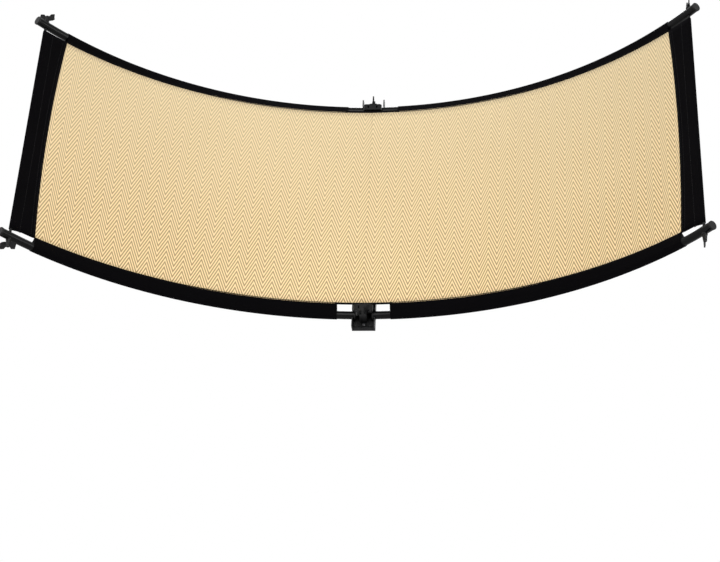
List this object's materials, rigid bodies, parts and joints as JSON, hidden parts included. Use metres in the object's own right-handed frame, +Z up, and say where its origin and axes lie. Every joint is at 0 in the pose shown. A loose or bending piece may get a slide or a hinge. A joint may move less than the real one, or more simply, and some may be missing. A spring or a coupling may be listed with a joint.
{
  "type": "arched light reflector",
  "caption": "Arched gold cloth light reflector on a folding black tube frame, with a tilting stand-stud bracket behind it.",
  "frame": {"origin": "centre of the stud socket's mouth, on the underside of the stud receiver", "axes": "+X along the reflector's long side, -Y out of its hollow front, +Z up the stand"},
  "size_m": [1.526, 0.6395, 0.749],
  "materials": {
    "gold_zigzag_fabric": "pale gold woven cloth with a fine zigzag of cream and tan lines, soft sheen",
    "black_fabric": "matte black stretch cloth",
    "gloss_black_tube": "gloss black coated aluminium tube",
    "black_anodised": "satin black anodised",
    "black_steel": "black steel rod",
    "dark_steel": "black oxide steel",
    "black_plastic": "moulded black nylon, slightly glossy",
    "black_casting": "black powder coated casting",
    "friction_fibre": "dark fibre friction disc",
    "brass": "bare brass"
  },
  "bodies": {
    "root": {"stud_receiver": "black_casting", "lock_pad": "brass", "friction_discs": "friction_fibre"},
    "stud_lock": {"stud_lock_screw": "black_plastic"},
    "spine": {"spine_channel": "black_anodised", "upper_hub_block": "black_plastic", "lower_hub_block": "black_plastic", "upper_hub_screws": "dark_steel", "lower_hub_screws": "dark_steel", "tilt_bracket": "black_anodised", "bracket_screws": "dark_steel", "tilt_bolt": "dark_steel", "tilt_washer": "dark_steel", "reflector_panel_centre": "gold_zigzag_fabric", "notch_hems_centre": "black_fabric", "lower_left_fold_pin": "dark_steel", "lower_right_fold_pin": "dark_steel", "upper_left_fold_pin": "dark_steel", "upper_right_fold_pin": "dark_steel"},
    "tilt_lever": {"tilt_lock_lever": "black_plastic"},
    "upper_hub_lock": {"upper_hub_lock_screw": "black_plastic"},
    "lower_hub_lock": {"lower_hub_lock_screw": "black_plastic"},
    "left_wing": {"left_spreader_rod": "black_steel", "left_saddle_washers": "black_plastic", "left_root_rivets": "dark_steel", "reflector_panel_left": "gold_zigzag_fabric", "notch_hems_left": "black_fabric", "end_band_left": "black_fabric", "lower_left_arc_tube": "gloss_black_tube", "lower_left_root_fitting": "black_plastic", "lower_left_end_cap": "black_plastic", "lower_left_sleeve": "black_fabric", "upper_left_arc_tube": "gloss_black_tube", "upper_left_root_fitting": "black_plastic", "upper_left_end_cap": "black_plastic", "upper_left_sleeve": "black_fabric"},
    "lower_left_corner_lock": {"lower_left_corner_screw": "black_plastic"},
    "upper_left_corner_lock": {"upper_left_corner_screw": "black_plastic"},
    "right_wing": {"right_spreader_rod": "black_steel", "right_saddle_washers": "black_plastic", "right_root_rivets": "dark_steel", "reflector_panel_right": "gold_zigzag_fabric", "notch_hems_right": "black_fabric", "end_band_right": "black_fabric", "lower_right_arc_tube": "gloss_black_tube", "lower_right_root_fitting": "black_plastic", "lower_right_end_cap": "black_plastic", "lower_right_sleeve": "black_fabric", "upper_right_arc_tube": "gloss_black_tube", "upper_right_root_fitting": "black_plastic", "upper_right_end_cap": "black_plastic", "upper_right_sleeve": "black_fabric"},
    "lower_right_corner_lock": {"lower_right_corner_screw": "black_plastic"},
    "upper_right_corner_lock": {"upper_right_corner_screw": "black_plastic"}
  },
  "joints": [
    {"name": "tilt", "type": "hinge", "parent": "root", "child": "spine", "pos_m": [0, 0, 0.068], "axis": [-1, 0, 0], "range_deg": [-32, 50]},
    {"name": "tilt_lever_turn", "type": "hinge", "parent": "spine", "child": "tilt_lever", "pos_m": [-0.025, 0, 0.068], "axis": [1, 0, 0], "range_deg": [-60, 60]},
    {"name": "stud_lock_turn", "type": "hinge", "parent": "root", "child": "stud_lock", "pos_m": [0, 0.024, 0.022], "axis": [0, 1, 0], "continuous": true},
    {"name": "upper_hub_lock_turn", "type": "hinge", "parent": "spine", "child": "upper_hub_lock", "pos_m": [0, 0.09951, 0.35691], "axis": [0, 0.454, 0.891], "continuous": true},
    {"name": "lower_hub_lock_turn", "type": "hinge", "parent": "spine", "child": "lower_hub_lock", "pos_m": [0, -0.19792, -0.16449], "axis": [0, -0.891, 0.454], "continuous": true},
    {"name": "left_fold", "type": "hinge", "parent": "spine", "child": "left_wing", "pos_m": [-0.016, -0.05729, 0.09719], "axis": [0, 0.454, 0.891], "range_deg": [0, 60]},
    {"name": "lower_left_corner_turn", "type": "hinge", "parent": "left_wing", "child": "lower_left_corner_lock", "pos_m": [-0.73931, -0.49199, -0.01892], "axis": [0, -0.454, -0.891], "continuous": true},
    {"name": "upper_left_corner_turn", "type": "hinge", "parent": "left_wing", "child": "upper_left_corner_lock", "pos_m": [-0.73931, -0.21887, 0.51711], "axis": [0, 0.454, 0.891], "continuous": true},
    {"name": "right_fold", "type": "hinge", "parent": "spine", "child": "right_wing", "pos_m": [0.016, -0.05729, 0.09719], "axis": [0, -0.454, -0.891], "range_deg": [0, 60]},
    {"name": "lower_right_corner_turn", "type": "hinge", "parent": "right_wing", "child": "lower_right_corner_lock", "pos_m": [0.73931, -0.49199, -0.01892], "axis": [0, -0.454, -0.891], "continuous": true},
    {"name": "upper_right_corner_turn", "type": "hinge", "parent": "right_wing", "child": "upper_right_corner_lock", "pos_m": [0.73931, -0.21887, 0.51711], "axis": [0, 0.454, 0.891], "continuous": true}
  ]
}
